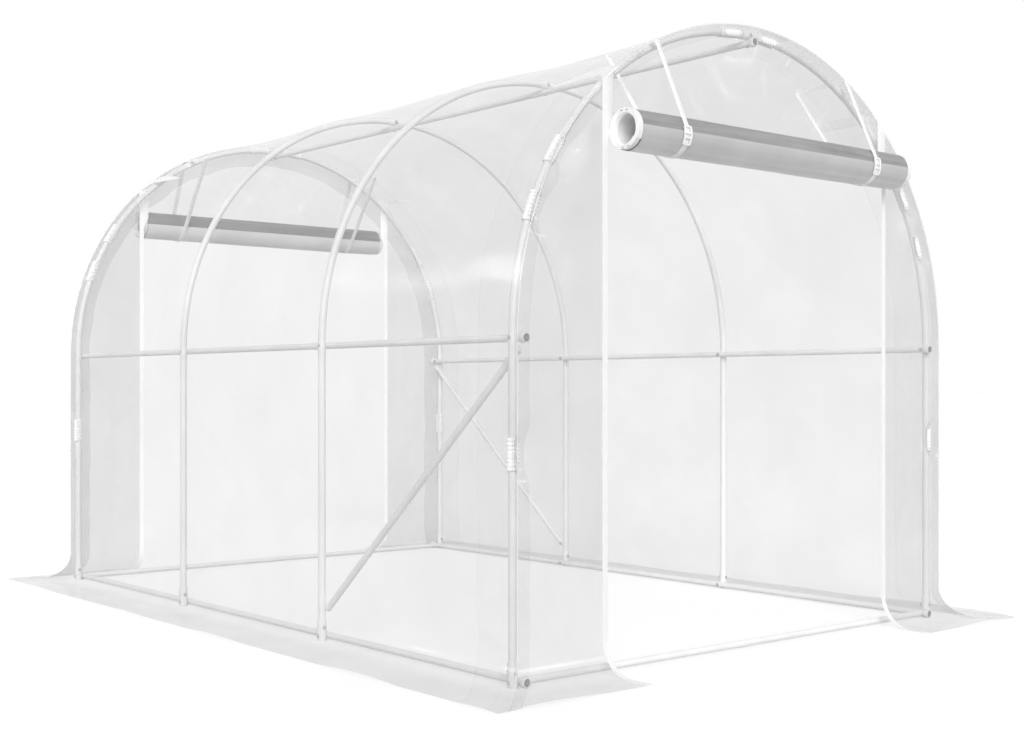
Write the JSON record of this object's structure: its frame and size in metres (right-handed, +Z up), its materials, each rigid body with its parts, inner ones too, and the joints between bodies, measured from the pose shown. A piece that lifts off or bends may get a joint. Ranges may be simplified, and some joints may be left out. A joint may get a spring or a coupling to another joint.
{
  "type": "polytunnel greenhouse",
  "caption": "Walk-in tunnel greenhouse: white tube hoops under clear film, with rolled-up film doors at both ends and a film skirt on the ground.",
  "frame": {"origin": "on the ground at the middle of the plan", "axes": "+X to the right of someone facing the front door, +Y from the front door to the rear door, +Z up"},
  "size_m": [2.4792, 3.4552, 2.0187],
  "materials": {
    "white_tube": "smooth white powder coat",
    "grey_cap": "moulded grey plastic",
    "white_clip": "moulded white plastic with fine ribs",
    "clear_film": "clear, slightly milky polyethylene film with soft creases",
    "rolled_film": "many turns of clear film, grey and cloudy",
    "white_webbing": "woven white webbing and sewn edge tape"
  },
  "bodies": {
    "root": {"front_hoop_legs": "white_tube", "front_hoop_arch": "white_tube", "second_hoop_legs": "white_tube", "second_hoop_arch": "white_tube", "third_hoop_legs": "white_tube", "third_hoop_arch": "white_tube", "rear_hoop_legs": "white_tube", "rear_hoop_arch": "white_tube", "apex_sleeves": "white_tube", "foot_sockets": "white_tube", "ridge_rail": "white_tube", "left_side_rail": "white_tube", "right_side_rail": "white_tube", "left_ground_rail": "white_tube", "right_ground_rail": "white_tube", "front_sill_rail": "white_tube", "rear_sill_rail": "white_tube", "front_left_brace": "white_tube", "rear_right_brace": "white_tube", "rail_end_caps": "grey_cap", "front_film_clips": "white_clip", "rear_film_clips": "white_clip", "left_wall_film": "clear_film", "right_wall_film": "clear_film", "left_low_roof_film": "clear_film", "left_high_roof_film": "clear_film", "right_high_roof_film": "clear_film", "right_low_roof_film": "clear_film", "left_ground_skirt": "clear_film", "right_ground_skirt": "clear_film", "front_ground_skirts": "clear_film", "rear_ground_skirts": "clear_film", "front_side_panels": "clear_film", "rear_side_panels": "clear_film", "front_top_panel": "clear_film", "rear_top_panel": "clear_film", "front_door_roll": "rolled_film", "rear_door_roll": "rolled_film", "front_roll_straps": "white_webbing", "rear_roll_straps": "white_webbing", "front_door_tapes": "white_webbing", "rear_door_tapes": "white_webbing", "front_lap_band": "clear_film", "rear_lap_band": "clear_film"}
  },
  "joints": []
}
